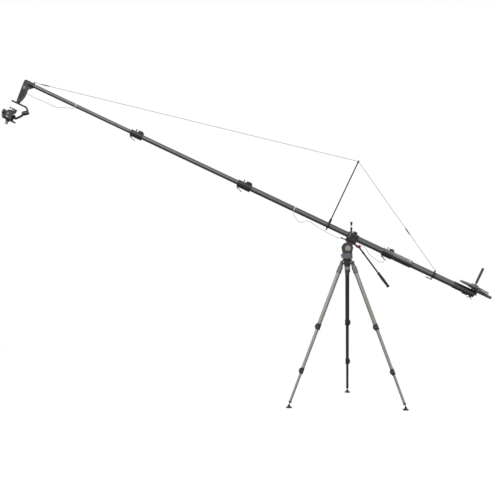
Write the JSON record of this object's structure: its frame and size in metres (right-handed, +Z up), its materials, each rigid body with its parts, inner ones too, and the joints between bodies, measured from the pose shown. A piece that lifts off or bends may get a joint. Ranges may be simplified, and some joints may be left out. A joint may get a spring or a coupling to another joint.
{
  "type": "camera jib crane",
  "caption": "Telescopic camera jib crane with fluid head, counterweight, stayed boom and a gimbal-held camera, on a tripod with flip locks.",
  "frame": {"origin": "middle of the bounding box on the floor", "axes": "+X along the boom towards the counterweight, +Y away from the side with the drag dial, +Z up"},
  "size_m": [5.154, 1.1426, 3.4028],
  "materials": {
    "grey_tube": "satin anodised",
    "black_tube": "satin black",
    "cast_metal": "cast, painted",
    "black_metal": "matte black",
    "carbon": "satin dark grey",
    "rear_carbon": "satin greenish grey",
    "pale_metal": "satin",
    "wire": "steel wire",
    "chrome": "polished",
    "steel": "grey steel",
    "spindle": "black handle on a steel bolt",
    "beige": "matte",
    "red": "red anodised",
    "black_plastic": "matte black",
    "white": "matte white",
    "rubber": "matte rubber",
    "camera": "camera body"
  },
  "bodies": {
    "tripod": {"tripod_crown": "cast_metal"},
    "leg_left": {"shoulder_left": "cast_metal", "upper_tube_left": "grey_tube"},
    "upper_lever_left": {"upper_lever_left": "black_metal"},
    "leg_middle_left": {"middle_tube_left": "grey_tube"},
    "lower_lever_left": {"lower_lever_left": "black_metal"},
    "leg_lower_left": {"lower_tube_left": "grey_tube"},
    "foot_left": {"foot_left": "rubber"},
    "leg_right": {"shoulder_right": "cast_metal", "upper_tube_right": "grey_tube"},
    "upper_lever_right": {"upper_lever_right": "black_metal"},
    "leg_middle_right": {"middle_tube_right": "grey_tube"},
    "lower_lever_right": {"lower_lever_right": "black_metal"},
    "leg_lower_right": {"lower_tube_right": "grey_tube"},
    "foot_right": {"foot_right": "rubber"},
    "leg_rear": {"shoulder_rear": "black_metal", "upper_tube_rear": "black_tube"},
    "upper_lever_rear": {"upper_lever_rear": "black_metal"},
    "leg_middle_rear": {"middle_tube_rear": "black_tube"},
    "lower_lever_rear": {"lower_lever_rear": "black_metal"},
    "leg_lower_rear": {"lower_tube_rear": "black_tube"},
    "foot_rear": {"foot_rear": "rubber"},
    "head_base": {"head_base": "pale_metal"},
    "bowl_knob": {"bowl_knob": "pale_metal"},
    "pan": {"pan_housing": "cast_metal"},
    "pan_lock": {"pan_lock_lever": "black_metal"},
    "tilt": {"tilt_drum": "black_metal", "pan_bar_clamp": "red"},
    "drag_dial": {"drag_dial": "beige"},
    "pan_bar": {"pan_bar": "black_plastic"},
    "boom": {"sliding_plate": "black_metal", "fulcrum_block": "black_metal", "main_front_tube": "carbon", "main_rear_tube": "carbon", "boom_lock_middle": "black_metal", "boom_lock_rear": "black_metal", "tube_coupler": "black_metal", "rear_tube": "rear_carbon", "mast": "black_metal", "front_stay": "wire", "rear_stay": "wire", "rear_clamp": "rear_carbon", "weight_plate": "steel", "monitor_mount": "chrome", "boom_wire": "black_plastic"},
    "boom_middle": {"middle_tube": "carbon", "boom_lock_front": "black_metal"},
    "boom_front": {"front_tube": "carbon", "tip_bracket": "black_metal", "gimbal_handle": "black_plastic", "front_wire": "black_plastic"},
    "boom_lever_front": {"boom_lever_front": "black_metal"},
    "boom_lever_middle": {"boom_lever_middle": "black_metal"},
    "boom_lever_rear": {"boom_lever_rear": "black_metal"},
    "coupler_button": {"coupler_button": "white"},
    "weight_spindle": {"weight_spindle": "spindle"},
    "pan_arm": {"pan_arm": "black_plastic"},
    "roll_arm": {"roll_arm": "black_plastic"},
    "camera": {"camera_cradle": "black_metal", "camera": "camera"}
  },
  "joints": [
    {"name": "leg_spread_left", "type": "hinge", "parent": "tripod", "child": "leg_left", "pos_m": [1.00195, -0.16064, 1.488], "axis": [0.4019, -0.9157, 0], "range_deg": [0, 18]},
    {"name": "upper_lever_turn_left", "type": "hinge", "parent": "leg_left", "child": "upper_lever_left", "pos_m": [0.7117, -0.27664, 0.83202], "axis": [0.3607, 0.1583, 0.9191], "range_deg": [0, 100]},
    {"name": "leg_middle_slide_left", "type": "slide", "parent": "leg_left", "child": "leg_middle_left", "axis": [0.3607, 0.1583, 0.9191], "range_m": [0, 0.4]},
    {"name": "lower_lever_turn_left", "type": "hinge", "parent": "leg_middle_left", "child": "lower_lever_left", "pos_m": [0.54021, -0.3536, 0.38273], "axis": [0.3607, 0.1583, 0.9191], "range_deg": [0, 100]},
    {"name": "leg_lower_slide_left", "type": "slide", "parent": "leg_middle_left", "child": "leg_lower_left", "axis": [0.3607, 0.1583, 0.9191], "range_m": [0, 0.26]},
    {"name": "foot_turn_left", "type": "hinge", "parent": "leg_lower_left", "child": "foot_left", "pos_m": [0.42975, -0.41182, 0.03], "axis": [0.4019, -0.9157, 0], "range_deg": [-20, 20]},
    {"name": "leg_spread_right", "type": "hinge", "parent": "tripod", "child": "leg_right", "pos_m": [1.1018, -0.17166, 1.488], "axis": [0.592, 0.8059, 0], "range_deg": [0, 18]},
    {"name": "upper_lever_turn_right", "type": "hinge", "parent": "leg_right", "child": "upper_lever_right", "pos_m": [1.34737, -0.36502, 0.83202], "axis": [-0.3175, 0.2332, 0.9191], "range_deg": [0, 100]},
    {"name": "leg_middle_slide_right", "type": "slide", "parent": "leg_right", "child": "leg_middle_right", "axis": [-0.3175, 0.2332, 0.9191], "range_m": [0, 0.4]},
    {"name": "lower_lever_turn_right", "type": "hinge", "parent": "leg_middle_right", "child": "lower_lever_right", "pos_m": [1.49977, -0.47506, 0.38273], "axis": [-0.3175, 0.2332, 0.9191], "range_deg": [0, 100]},
    {"name": "leg_lower_slide_right", "type": "slide", "parent": "leg_middle_right", "child": "leg_lower_right", "axis": [-0.3175, 0.2332, 0.9191], "range_m": [0, 0.26]},
    {"name": "foot_turn_right", "type": "hinge", "parent": "leg_lower_right", "child": "foot_right", "pos_m": [1.60542, -0.54161, 0.03], "axis": [0.592, 0.8059, 0], "range_deg": [-20, 20]},
    {"name": "leg_spread_rear", "type": "hinge", "parent": "tripod", "child": "leg_rear", "pos_m": [1.06142, -0.07968, 1.488], "axis": [-0.994, 0.1097, 0], "range_deg": [0, 18]},
    {"name": "upper_lever_turn_rear", "type": "hinge", "parent": "leg_rear", "child": "upper_lever_rear", "pos_m": [1.10608, 0.22968, 0.83202], "axis": [-0.0432, -0.3916, 0.9191], "range_deg": [0, 100]},
    {"name": "leg_middle_slide_rear", "type": "slide", "parent": "leg_rear", "child": "leg_middle_rear", "axis": [-0.0432, -0.3916, 0.9191], "range_m": [0, 0.4]},
    {"name": "lower_lever_turn_rear", "type": "hinge", "parent": "leg_middle_rear", "child": "lower_lever_rear", "pos_m": [1.12518, 0.41667, 0.38273], "axis": [-0.0432, -0.3916, 0.9191], "range_deg": [0, 100]},
    {"name": "leg_lower_slide_rear", "type": "slide", "parent": "leg_middle_rear", "child": "leg_lower_rear", "axis": [-0.0432, -0.3916, 0.9191], "range_m": [0, 0.26]},
    {"name": "foot_turn_rear", "type": "hinge", "parent": "leg_lower_rear", "child": "foot_rear", "pos_m": [1.12999, 0.54145, 0.03], "axis": [-0.994, 0.1097, 0], "range_deg": [-20, 20]},
    {"name": "head_leveling", "type": "hinge", "parent": "tripod", "child": "head_base", "pos_m": [1.05505, -0.13733, 1.5247], "axis": [0, 1, 0], "range_deg": [-4, 4]},
    {"name": "bowl_knob_turn", "type": "hinge", "parent": "head_base", "child": "bowl_knob", "pos_m": [1.05505, -0.13733, 1.4], "axis": [0, 0, 1], "range_deg": [0, 360]},
    {"name": "head_pan", "type": "hinge", "parent": "head_base", "child": "pan", "pos_m": [1.05505, -0.13733, 1.5487], "axis": [0, 0, 1], "continuous": true},
    {"name": "pan_lock_turn", "type": "hinge", "parent": "pan", "child": "pan_lock", "pos_m": [0.99305, -0.13733, 1.562], "axis": [1, 0, 0], "range_deg": [-30, 60]},
    {"name": "head_tilt", "type": "hinge", "parent": "pan", "child": "tilt", "pos_m": [1.05505, -0.13733, 1.634], "axis": [0, 1, 0], "range_deg": [-42, 20]},
    {"name": "drag_dial_turn", "type": "hinge", "parent": "pan", "child": "drag_dial", "pos_m": [1.05505, -0.19233, 1.634], "axis": [0, 1, 0], "range_deg": [0, 300]},
    {"name": "pan_bar_turn", "type": "hinge", "parent": "tilt", "child": "pan_bar", "pos_m": [1.18728, -0.06733, 1.64229], "axis": [0, -1, 0], "range_deg": [-15, 60]},
    {"name": "plate_slide", "type": "slide", "parent": "tilt", "child": "boom", "axis": [0.9041, 0, -0.4274], "range_m": [-0.04, 0.04]},
    {"name": "middle_tube_slide", "type": "slide", "parent": "boom", "child": "boom_middle", "axis": [0.9041, 0, -0.4274], "range_m": [0, 1], "deforming": ["front_stay"]},
    {"name": "front_tube_slide", "type": "slide", "parent": "boom_middle", "child": "boom_front", "axis": [0.9041, 0, -0.4274], "range_m": [0, 0.55], "deforming": ["front_stay"]},
    {"name": "boom_lever_turn_front", "type": "hinge", "parent": "boom_middle", "child": "boom_lever_front", "pos_m": [-1.22281, -0.13733, 2.8031], "axis": [0, 1, 0], "range_deg": [-15, 75]},
    {"name": "boom_lever_turn_middle", "type": "hinge", "parent": "boom", "child": "boom_lever_middle", "pos_m": [-0.10074, -0.13733, 2.26828], "axis": [0, 1, 0], "range_deg": [-15, 75]},
    {"name": "boom_lever_turn_rear", "type": "hinge", "parent": "boom", "child": "boom_lever_rear", "pos_m": [1.41912, -0.13733, 1.54542], "axis": [0, 1, 0], "range_deg": [-15, 75]},
    {"name": "coupler_button_press", "type": "slide", "parent": "boom", "child": "coupler_button", "axis": [-0.2451, 0.8192, -0.5186], "range_m": [0, 0.003], "stiffness_N_per_m": 600, "springref_m": -0.002},
    {"name": "weight_spindle_turn", "type": "hinge", "parent": "boom", "child": "weight_spindle", "pos_m": [2.40208, -0.13733, 1.24282], "axis": [0.4274, 0, 0.9041], "range_deg": [0, 360]},
    {"name": "gimbal_pan", "type": "hinge", "parent": "boom_front", "child": "pan_arm", "pos_m": [-2.40436, -0.13733, 3.16528], "axis": [0.4274, 0, 0.9041], "continuous": true},
    {"name": "gimbal_roll", "type": "hinge", "parent": "pan_arm", "child": "roll_arm", "pos_m": [-2.47145, -0.13733, 3.02334], "axis": [0.9796, 0, 0.2011], "range_deg": [-45, 45]},
    {"name": "gimbal_tilt", "type": "hinge", "parent": "roll_arm", "child": "camera", "pos_m": [-2.47145, -0.13733, 3.02334], "axis": [0, 1, 0], "range_deg": [-45, 30]}
  ]
}
